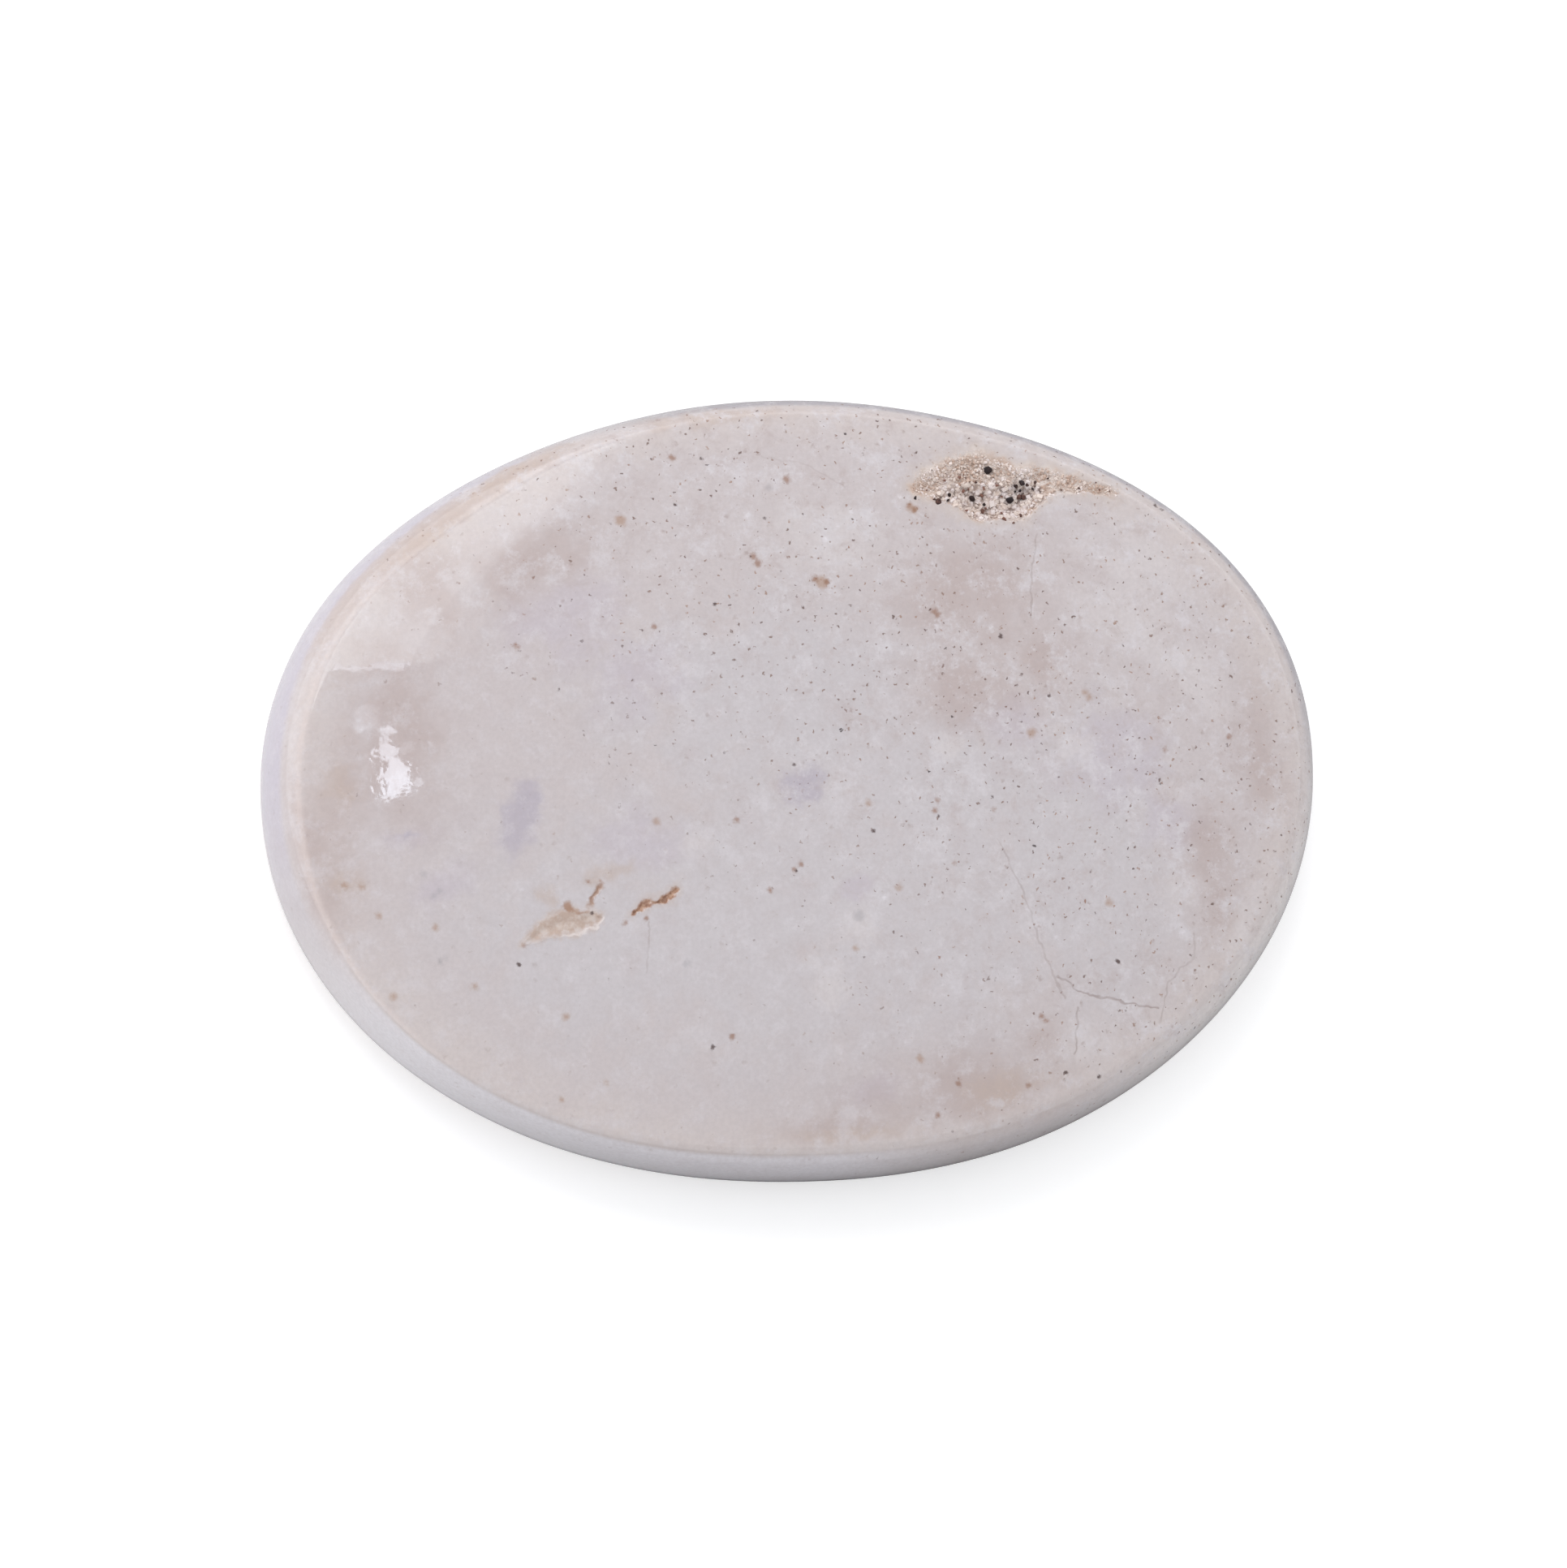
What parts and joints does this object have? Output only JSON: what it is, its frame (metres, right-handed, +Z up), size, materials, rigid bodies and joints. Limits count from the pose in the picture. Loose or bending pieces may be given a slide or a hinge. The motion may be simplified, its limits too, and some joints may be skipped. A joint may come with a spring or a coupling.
{
  "type": "opal gemstone",
  "caption": "Oval cabochon of milky grey opal with a low dome, rounded wall, flat back, a crystal-lined hollow and iron-stained pits.",
  "frame": {"origin": "under the middle of the stone, on the flat back that it rests on", "axes": "+X along the oval, towards the end nearer the crystal-lined hollow; +Y across it, towards that hollow; +Z up from the flat back to the domed top"},
  "size_m": [0.0401, 0.0295, 0.0062],
  "materials": {
    "opal": "polished common opal: milky lavender grey with brown specks, glassy shine",
    "vug_crust": "sugary crystals, tan to white, unpolished, with dark grains"
  },
  "bodies": {
    "root": {"opal": "opal", "vug_crust": "vug_crust"}
  },
  "joints": []
}
